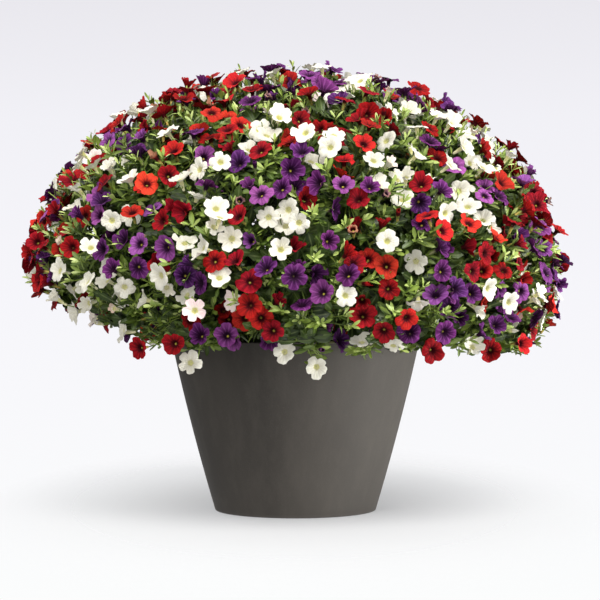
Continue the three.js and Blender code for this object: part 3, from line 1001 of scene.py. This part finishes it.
def new_material(name):
    material = bpy.data.materials.new(name)
    material.use_nodes = True
    tree = material.node_tree
    return material, tree, tree.nodes["Principled BSDF"]


def petal_material(number):
    """Petals coloured from tube to edge, veined and streaked, with some paler and some wilted blooms."""
    look = {key: row[number] for key, row in PETALS.items()}
    material, tree, shader = new_material(f"petals_{COLOURS[number]}")
    along, fold, tone = (value_of(tree, name) for name in VALUE_NAMES)

    def draw(scale):
        """A number from 0 to 1 that differs from bloom to bloom."""
        return maths("FRACT", times(tone, scale))

    def tint(share, key):
        return mix(share, colour, look[key])

    throat_end, limb_start = look["throat_reach"]
    stops = [(0.0, "tube"), (0.1, "tube"), (0.165, "throat")]
    stops += [(throat_end, "throat"), (limb_start, "limb"), (1.0, "edge")]
    colour = ramp(along, [(place, look[key]) for place, key in stops])
    on_limb = stretch(along, 0.3, 0.6)
    colour = tint(times(stretch(tone, look["pale_from"], 1.0, 0.0, 0.85), on_limb), "pale")

    waver = stretch(noise(tree, 160), 0.3, 0.7, -0.9, 0.9)
    stripes = maths("SINE", plus(times(fold, 9.4), waver))
    colour = tint(times(stretch(stripes, 0.0, -1.0, 0.0, look["streaks"]), on_limb), "streak")
    vein = stretch(stripes, 0.2, 1.0, 0.0, look["veins"])
    colour = tint(times(vein, stretch(along, 1.0, 0.35)), "throat")
    # Seams: dark between the lobes near the throat, partly the flower's own lines and partly painted shade
    # in the creases.
    seam = times(stretch(fold, 0.7, 1.0), stretch(along, 1.05, 0.4))
    colour = tint(times(seam, look["seams"]), "throat")

    mottle = stretch(noise(tree, 70), 0.3, 0.7, 0.9, 1.06)
    level = times(stretch(draw(7.0), 0, 1, 0.78, 1.1), mottle)
    hue = plus(stretch(draw(23.0), 0, 1, *look["hues"]), 0.5)
    shifted = add(tree, "ShaderNodeHueSaturation", {"Color": colour, "Hue": hue, "Value": level})

    in_eye = stretch(along, EYE_ALONG, EYE_RIM_ALONG)
    inside = ramp(in_eye, [(0.15, look["eye"]), (0.8, look["throat"])])
    is_dark = stretch(draw(11.0), look["dark_eyes"], look["dark_eyes"] - 0.15, 0.0, 0.85)
    inside = mix(is_dark, inside, look["throat"])
    is_inside = stretch(along, 0.5 * EYE_RIM_ALONG, EYE_RIM_ALONG)
    colour = mix(is_inside, shifted.outputs["Color"], inside)
    is_wilted = times(stretch(tone, 1.1, WILTED_TONE, 0.0, 0.8), on_limb)
    colour = mix(is_wilted, colour, WILTED_COLOUR)

    relief = plus(times(stripes, 0.5), noise(tree, 400))
    shader.subsurface_method = "BURLEY"
    plug(shader, {
        "Base Color": colour,
        "Roughness": 0.7,
        "Specular IOR Level": 0.12,
        # The glow is painted light: the petals give off a little light of their limb colour in place of
        # light through them, which also keeps their shaded parts bright.
        "Emission Color": look["limb"],
        "Emission Strength": look["glow"],
        "Subsurface Weight": 0.3,
        "Subsurface Radius": (1, 1, 1),
        "Subsurface Scale": 0.003,
        "Normal": bump(relief, 0.5, 0.0008),
    })
    return material


def foliage_material():
    """Leaves from a dark green, which is painted shade on the leaves deep in the mound, to the yellow-green
    of young tips, with a paler midrib.
    """
    material, tree, shader = new_material("calibrachoa_foliage")
    fold = value_of(tree, "fold")
    mottle = stretch(noise(tree, 45), 0.3, 0.7, -0.1, 0.1)
    colour = ramp(plus(value_of(tree, "tone"), mottle), LEAF_GREENS)
    colour = mix(stretch(fold, 0.0, 0.3, 0.35, 0.0), colour, (0.34, 0.42, 0.16))
    relief = plus(times(fold, 0.6), noise(tree, 500))
    normal = bump(relief, 0.3, 0.0005)
    plug(shader, {
        "Base Color": colour, "Roughness": 0.42, "Specular IOR Level": 0.45, "Normal": normal
    })
    return material


def pot_material():
    """Taupe resin with soft clouding, a fine sandy grain and a rubbed rim and foot."""
    material, tree, shader = new_material("pot_resin")
    place = add(tree, "ShaderNodeTexCoord").outputs["Object"]
    squash = add(tree, "ShaderNodeMapping", {"Vector": place, "Scale": (1.0, 1.0, 0.3)}).outputs["Vector"]
    clouds = noise(tree, 7, 4, 0.55, squash)
    colour = ramp(clouds, [(0.3, (0.042, 0.0365, 0.031)), (0.7, (0.067, 0.0595, 0.0505))])
    colour = spots(colour, noise(tree, 900, 2, 0.6, place), 0.55, 0.75, 0.35, (0.105, 0.093, 0.079))
    colour = spots(colour, noise(tree, 60, 4, 0.65, squash), 0.45, 0.72, 0.5, (0.08, 0.071, 0.06))
    height = add(tree, "ShaderNodeSeparateXYZ", {0: place}).outputs["Z"]
    foot = stretch(height, 0.0, FOOT_RUB * MM, 0.4, 0.0)
    rim = stretch(height, (POT_HEIGHT - RIM_RUB) * MM, POT_HEIGHT * MM, 0.0, 0.5)
    colour = mix(plus(foot, rim), colour, (0.11, 0.1, 0.091))
    plug(shader, {
        "Base Color": colour,
        "Roughness": stretch(clouds, 0.3, 0.7, 0.62, 0.74),
        "Specular IOR Level": 0.35,
        "Normal": bump(noise(tree, 1400, 2, 0.6, place), 0.25, 0.0004),
    })
    return material


def soil_material():
    """Dark moist peat with paler fibres and a few white grains of perlite."""
    material, tree, shader = new_material("peat")
    stops = [(0.3, (0.012, 0.008, 0.006)), (0.7, (0.06, 0.04, 0.026))]
    colour = ramp(noise(tree, 160, 6, 0.7), stops)
    colour = spots(colour, noise(tree, 420, 4, 0.7), 0.6, 0.72, 0.7, (0.16, 0.105, 0.06))
    colour = spots(colour, noise(tree, 150, 1, 0.4), 0.76, 0.78, 0.9, (0.6, 0.58, 0.54))
    normal = bump(noise(tree, 240, 6, 0.7), 1.0, 0.004)
    plug(shader, {"Base Color": colour, "Roughness": 0.95, "Normal": normal})
    return material


# ---- Pot ----

POT_SEGMENTS = 160
POT_EDGE = 1.5  # radius of the rounded foot and rim
POT_CHAMFER = 6  # between the floor and the wall inside
WALL_STEPS = 12
INNER_WALL_STEPS = 8
ARC_STEPS = 4
SHARP_ANGLE = math.radians(40)


def pot_radius(height):
    up = height / POT_HEIGHT
    return lerp(POT_FOOT_RADIUS, POT_RIM_RADIUS, up) + POT_BULGE * 4 * up * (1 - up)


def arc(centre, radius, start, end):
    """Points on a quarter arc, by angles in degrees."""
    angles = np.radians(np.linspace(start, end, ARC_STEPS + 1))
    return [(centre[0] + radius * math.cos(a), centre[1] + radius * math.sin(a)) for a in angles]


def pot_outline():
    """From the middle of the underside, out and up the wall, over the rim and down the inside."""
    wall_top = POT_HEIGHT - POT_EDGE * 2
    wall_heights = np.linspace(POT_EDGE * 2, wall_top, WALL_STEPS)
    inner_heights = np.linspace(wall_top, POT_FLOOR + POT_CHAMFER, INNER_WALL_STEPS)
    foot = pot_radius(POT_EDGE)
    return [
        (0, 0),
        *arc((foot - POT_EDGE, POT_EDGE), POT_EDGE, -90, 0),
        *[(pot_radius(height), height) for height in wall_heights],
        *arc((POT_RIM_RADIUS - POT_EDGE, POT_HEIGHT - POT_EDGE), POT_EDGE, 0, 90),
        *arc((POT_RIM_RADIUS - POT_WALL + POT_EDGE, POT_HEIGHT - POT_EDGE), POT_EDGE, 90, 180),
        *[(pot_radius(height) - POT_WALL, height) for height in inner_heights],
        (pot_radius(POT_FLOOR) - POT_WALL - POT_CHAMFER, POT_FLOOR),
        (0, POT_FLOOR),
    ]


def lathe(name, outline):
    """A closed turned body, whose outline starts and ends on the axis."""
    angles = np.arange(POT_SEGMENTS) * TURN / POT_SEGMENTS
    corners = [(0, 0, outline[0][1]), (0, 0, outline[-1][1])]
    for radius, height in outline[1:-1]:
        corners += [(radius * math.cos(angle), radius * math.sin(angle), height) for angle in angles]
    last = len(corners) - POT_SEGMENTS
    faces = []
    for corner in range(POT_SEGMENTS):
        turned = (corner + 1) % POT_SEGMENTS
        faces.append((0, 2 + turned, 2 + corner))
        faces.append((1, last + corner, last + turned))
        for low in range(2, last, POT_SEGMENTS):
            high = low + POT_SEGMENTS
            faces.append((low + corner, low + turned, high + turned, high + corner))
    mesh = bpy.data.meshes.new(name)
    mesh.from_pydata([[part * MM for part in place] for place in corners], [], faces)
    return new_object(name, mesh)


def drain_drill(index):
    azimuth = (index + 0.5) * TURN / DRAIN_HOLES
    reach = DRAIN_CIRCLE_RADIUS * MM
    place = (reach * math.cos(azimuth), reach * math.sin(azimuth), 0)
    bpy.ops.mesh.primitive_cylinder_add(
        vertices=32, radius=DRAIN_HOLE_RADIUS * MM, depth=4 * POT_FLOOR * MM, location=place
    )
    return bpy.context.object


def make_pot():
    pot = lathe("pot_shell", pot_outline())
    drills = [drain_drill(index) for index in range(DRAIN_HOLES)]
    for drill in drills:
        cut = pot.modifiers.new("drain", "BOOLEAN")
        cut.operation = "DIFFERENCE"
        cut.solver = "EXACT"
        cut.object = drill
    bpy.context.view_layer.update()
    drilled = bpy.data.meshes.new_from_object(pot.evaluated_get(bpy.context.evaluated_depsgraph_get()))
    pot.modifiers.clear()
    pot.data = drilled
    for drill in drills:
        bpy.data.objects.remove(drill)
    drilled.shade_smooth()
    drilled.set_sharp_from_angle(angle=SHARP_ANGLE)
    drilled.materials.clear()
    drilled.materials.append(pot_material())
    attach(pot, "root")
    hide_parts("pot")


# ---- Plant ----

STEM_RADII = (2.3, 1.5)  # at the foot and at the end
STEM_LEAVES = 80
STEM_LEAVES_FROM = 0.3  # share of the stem that is bare
STEM_LEAF_RISE = 0.6
STEM_LEAF_LENGTHS = (26, 38)
# The low tones of these leaves deep in the mound are partly painted shade.
STEM_LEAF_SHADE_TONES = (0.0, 0.2)
PLAIN_LEAF_WIDTH = 0.38  # share of the length
PLAIN_LEAF_CURL = 0.15

BRANCHES = 9  # side branches in a spray's whorl
BRANCH_TURN_JITTER = 0.25
BRANCH_REACH = 60
BRANCH_REACHES = (0.85, 1.1)  # shares of it
BRANCH_HEIGHTS = (-6, 6)  # of the ends over the whorl's middle
BRANCH_ARCH = 8  # of the half way point
BRANCH_RADII = (1.3, 0.6)
BRANCH_TONES = (0.25, 0.5)
BRANCH_LEAVES = 15
BRANCH_LEAVES_FROM = 0.2
BRANCH_LEAF_LEAN = 55  # degrees to either side
BRANCH_LEAF_LEAN_JITTER = 18
BRANCH_LEAF_RISES = (0.1, 1.0)
BRANCH_LEAF_LENGTHS = (19, 28)
# The low tones of these leaves inside the whorls are partly painted shade.
BRANCH_LEAF_SHADE_TONES = (0.0, 0.36)
HEM_LEAF_ROOM = 12  # branches end this far above the hem
LEAST_BRANCH_DROP = 4  # but they may always hang this far

SHOOT_STEPS = 7
SHOOT_TONES = (0.4, 0.7)
STALK_RADII = (1.1, 0.75)
LEAF_SHOOT_RADII = (1.2, 0.6)
LEAF_SHOOT_BACK = 4.0
LEAF_SHOOT_LEAVES = 16


def stem_paths():
    """The sprays' main stems, from the soil up and over to their whorls."""
    foot = np.array([spray.standing for spray in SPRAYS])
    lift = foot.copy()
    foot[:, 2] = SOIL_TOP - STEM_SINK
    end = np.array([spray.centre + spray.top * STEM_OFFSET for spray in SPRAYS])
    lift[:, 2] = lerp(SOIL_TOP, end[:, 2], STEM_LIFT_SHARE) + STEM_LIFT
    reach = STEM_APPROACH * np.linalg.norm(end - lift, axis=1)
    approach = end - LOOKS * reach[:, None]
    approach[:, 2] = np.maximum(approach[:, 2], POT_HEIGHT + STEM_RIM_ROOM) + STEM_ARCH
    paths = bezier(foot, lift, approach, end, STALK_STEPS - 1)
    return np.concatenate([paths, CENTRES[:, None]], axis=1)


def plain_leaves(owner, base, direction, normal, lengths, tones, rng):
    size = rng.uniform(*lengths, len(owner))
    tone = rng.uniform(*tones, len(owner))
    width = size * PLAIN_LEAF_WIDTH
    return leaves(PLAIN_LEAF, owner, base, direction, normal, size, width, PLAIN_LEAF_CURL, tone)


def stem_batches(rng):
    """The main stems with leaves all round, whose dark green is partly painted shade deep in the mound."""
    paths = stem_paths()
    owners = np.arange(len(SPRAYS))
    batches = [tubes(owners, paths, STEM_RADII, 6, 0.3)]
    for share in np.linspace(STEM_LEAVES_FROM, 1, STEM_LEAVES):
        base = point_on(paths, share * (STALK_STEPS - 1))
        direction = rng.normal(0, 1, base.shape) + UP * STEM_LEAF_RISE
        row = plain_leaves(owners, base, direction, LOOKS + UP, STEM_LEAF_LENGTHS, STEM_LEAF_SHADE_TONES, rng)
        batches.append(row)
    return batches


class Branches:
    """Side branches that spread from the middle of each whorl, where they miss the placed blooms."""

    def __init__(self, placed, rng):
        rows = []
        for index, spray in enumerate(SPRAYS):
            for branch in range(BRANCHES):
                jitter = rng.uniform(-BRANCH_TURN_JITTER, BRANCH_TURN_JITTER)
                angle = (branch + jitter) * TURN / BRANCHES
                out = spray.side * math.cos(angle) + spray.top * math.sin(angle)
                reach = BRANCH_REACH * rng.uniform(*BRANCH_REACHES) * spray.branch_share
                room = max(spray.centre[2] - spray.hem - HEM_LEAF_ROOM, LEAST_BRANCH_DROP)
                if out[2] < 0:
                    reach = min(reach, room / -out[2])
                end = spray.centre + out * reach + spray.look * rng.uniform(*BRANCH_HEIGHTS)
                arch = spray.centre + out * reach * 0.5 + spray.look * BRANCH_ARCH
                path = bezier([spray.centre], [arch], [lerp(arch, end, 0.6)], [end], STALK_STEPS)[0]
                if placed.is_clear_of_stem(path):
                    rows.append((index, out, path))
        owners, outs, paths = zip(*rows)
        self.owner, self.out, self.path = np.array(owners), np.array(outs), np.array(paths)

    def batches(self, rng):
        """The branches, clothed in leaves."""
        count = len(self.owner)
        batches = [stalks(self.owner, self.path[:, ::2], BRANCH_RADII, BRANCH_TONES, rng)]
        looks = LOOKS[self.owner]
        flank = unit(np.cross(looks, self.out))
        for leaf in range(BRANCH_LEAVES):
            share = BRANCH_LEAVES_FROM + (1 - BRANCH_LEAVES_FROM) * leaf / (BRANCH_LEAVES - 1)
            base = point_on(self.path, share * (STALK_STEPS - 1))
            lean = BRANCH_LEAF_LEAN if leaf % 2 else -BRANCH_LEAF_LEAN
            turn = np.radians(lean + rng.normal(0, BRANCH_LEAF_LEAN_JITTER, count))[:, None]
            rise = rng.uniform(*BRANCH_LEAF_RISES, count)[:, None]
            direction = self.out * np.cos(turn) + flank * np.sin(turn) + looks * rise
            direction[:, 2] += BRANCH_LEAF_RISE * np.maximum(-direction[:, 2], 0)
            lengths, tones = BRANCH_LEAF_LENGTHS, BRANCH_LEAF_SHADE_TONES
            batches.append(plain_leaves(self.owner, base, direction, looks, lengths, tones, rng))
        return batches


def bloom_shoot_batches(blooms, rng):
    """The stalks, sepals and axil leaves that carry the blooms."""
    shoots = blooms.shoots
    paths = shoots.paths(blooms.depth - TUBE_RINGS[0][1], SHOOT_STEPS)
    batches = [stalks(shoots.owner, paths, STALK_RADII, SHOOT_TONES, rng)]
    batches += calyces(blooms, rng)
    shares = (0.4, 0.52, 0.64, 0.76, 0.88)
    lengths = (19, 18, 17, 15, 13)
    leans = (70, 66, 60, 55, 48)
    tones = (0.3, 0.36, 0.42, 0.48, 0.55)
    return batches + leaves_along(shoots, paths, shares, lengths, leans, tones, rng)


def leaf_shoot_batches(shoots, rng):
    """Shoots with leaves alone, dense and bright at the tip."""
    paths = shoots.paths(np.full(len(shoots), LEAF_SHOOT_BACK), SHOOT_STEPS)
    batches = [stalks(shoots.owner, paths, LEAF_SHOOT_RADII, SHOOT_TONES, rng)]
    up = np.linspace(0, 1, LEAF_SHOOT_LEAVES)
    shares = 0.38 + 0.62 * up**0.7
    lengths = lerp(20, 9, up**1.5)
    leans = lerp(74, 22, up**1.4)
    tones = lerp(0.3, 0.9, up**1.1)
    return batches + leaves_along(shoots, paths, shares, lengths, leans, tones, rng)


def make_plant():
    rng = np.random.default_rng(DETAIL_SEED)
    bloom_rows, rosette_rows = part_shoots()
    part_places = [row[0] for row in bloom_rows + rosette_rows]
    placed = Placed(bloom_rows, rosette_rows)
    branches = Branches(placed, rng)
    placed.stems += [*stem_paths(), *branches.path]
    bloom_rows += added_shoots(BLOOM_GROWTH, part_places, placed.take_bloom)

    def has_clear_stem(row):
        return placed.is_clear_of_stem(stem_to(row))

    rosette_rows += added_shoots(LEAF_GROWTH, [row[0] for row in rosette_rows], has_clear_stem)

    bloom_ends = Shoots(bloom_rows)
    colours = bloom_colours(bloom_ends.place)
    colours[: len(TRAILERS)] = [colour for _, _, colour in TRAILERS]
    blooms = Blooms(bloom_ends, colours, rng)

    green = stem_batches(rng) + branches.batches(rng) + bloom_shoot_batches(blooms, rng)
    green += leaf_shoot_batches(Shoots(rosette_rows), rng)
    green = [clear_of_blooms(batch, blooms) if batch.is_leaf else batch for batch in green]
    foliage = foliage_material()
    petals = [petal_material(number) for number in range(len(COLOURS))]
    bloom_mesh = blooms.mesh()
    for index, spray in enumerate(SPRAYS):
        parts = [batch.of(batch.owner == index) for batch in green]
        piece = make_piece(f"spray_{spray.number}_foliage", parts, foliage)
        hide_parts(spray.node)
        for number, colour in enumerate(COLOURS):
            mask = (bloom_mesh.owner == index) & (blooms.colour == number)
            if mask.any():
                name = f"spray_{spray.number}_{colour}_blooms"
                make_piece(name, [bloom_mesh.of(mask)], petals[number])


# ---- Stage, light and camera ----

FLOOR_RADIUS = 1.6
FLOOR_LEVEL = -0.0004
FLOOR_FADE = (0.1, 0.4)  # from the middle of the shadow, in metres across
FLOOR_FADE_CENTRE = (0, 0.17, 0)
FLOOR_FADE_SCALE = (1, 2.1, 1)
FLOOR_COLOUR = (0.5, 0.5, 0.505)
FLOOR_GLOW = (0.27, 0.273, 0.28)  # keeps the shadows on the floor light
LENS = 110
CAMERA_PLACE = (0.0054, -2.22, 0.253)
BACKDROP_STOPS = [
    (0.0, (0.97, 0.98, 0.98)),
    (0.5, (0.925, 0.92, 0.96)),
    (0.8, (0.885, 0.88, 0.925)),
    (1.0, (0.82, 0.81, 0.855)),
]


def make_floor():
    """A pale floor that fades out into the backdrop."""
    bpy.ops.mesh.primitive_circle_add(
        vertices=96, radius=FLOOR_RADIUS, fill_type="NGON", location=(0, 0, FLOOR_LEVEL)
    )
    floor = bpy.context.object
    floor.name = "floor"
    material, tree, shader = new_material("floor")
    place = add(tree, "ShaderNodeTexCoord").outputs["Object"]
    inputs = {"Vector": place, "Location": FLOOR_FADE_CENTRE, "Scale": FLOOR_FADE_SCALE}
    place = add(tree, "ShaderNodeMapping", inputs, vector_type="TEXTURE").outputs["Vector"]
    distance = add(tree, "ShaderNodeVectorMath", {0: place}, operation="LENGTH").outputs["Value"]
    plug(shader, {
        "Base Color": FLOOR_COLOUR,
        "Roughness": 0.9,
        "Specular IOR Level": 0.1,
        "Emission Color": FLOOR_GLOW,
        "Emission Strength": 1.0,
        "Alpha": stretch(distance, *FLOOR_FADE, 1.0, 0.0),
    })
    floor.data.materials.append(material)


def make_world():
    """Fill light, stronger from above and from the right; the camera sees a backdrop that is a little
    darker at the top.
    """
    world = bpy.data.worlds.new("studio")
    bpy.context.scene.world = world
    world.use_nodes = True
    tree = world.node_tree
    tree.nodes.clear()
    way = add(tree, "ShaderNodeTexCoord").outputs["Generated"]
    across, _, height = add(tree, "ShaderNodeSeparateXYZ", {0: way}).outputs
    backdrop = ramp(stretch(height, -0.16, 0.16), BACKDROP_STOPS)
    seen = add(tree, "ShaderNodeBackground", {"Color": backdrop, "Strength": 1.0})
    from_above = stretch(height, -0.4, 1, 0.55, 1.0)
    from_right = stretch(across, -1, 1, 0.5, 1.0)
    strength = times(from_above, from_right)
    fill = add(tree, "ShaderNodeBackground", {"Color": (1, 1, 1), "Strength": strength})
    is_seen = add(tree, "ShaderNodeLightPath").outputs["Is Camera Ray"]
    both = add(tree, "ShaderNodeMixShader", {0: is_seen, 1: fill.outputs[0], 2: seen.outputs[0]})
    add(tree, "ShaderNodeOutputWorld", {0: both.outputs[0]})


def make_light(name, kind, place, aim, **settings):
    data = bpy.data.lights.new(name, kind)
    for key, value in settings.items():
        setattr(data, key, value)
    light = new_object(name, data)
    light.location = place
    light.rotation_euler = Vector(np.subtract(aim, place)).to_track_quat("-Z", "Y").to_euler()


def make_lights():
    """A warm key from above, fills from the left front and from behind, and a spot aimed at the pot."""
    mound = (0, 0, 0.3)
    warm = (1, 0.985, 0.96)
    make_light("key", "AREA", (0.45, -1.9, 2.5), mound, energy=76, size=1.4, color=warm)
    make_light("front", "AREA", (-1.2, -2.7, 0.8), mound, energy=21, size=1.4)
    make_light("back", "AREA", (-1.4, 2.2, 1.5), mound, energy=22, size=1.6)
    spot = {"spot_size": math.radians(12), "spot_blend": 1.0, "shadow_soft_size": 0.25}
    make_light("pot_light", "SPOT", (2.4, -0.75, 0.13), (0, 0, 0.185), energy=620, **spot)


def make_camera():
    data = bpy.data.cameras.new("camera")
    data.sensor_width = 36
    data.lens = LENS
    camera = new_object("camera", data)
    camera.location = CAMERA_PLACE
    camera.rotation_euler = (math.pi / 2, 0, 0)
    bpy.context.scene.camera = camera


make_pot()
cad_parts["soil"].data.materials.clear()
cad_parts["soil"].data.materials.append(soil_material())
make_plant()
make_floor()
make_world()
make_lights()
make_camera()
bpy.context.scene.view_settings.view_transform = "Standard"
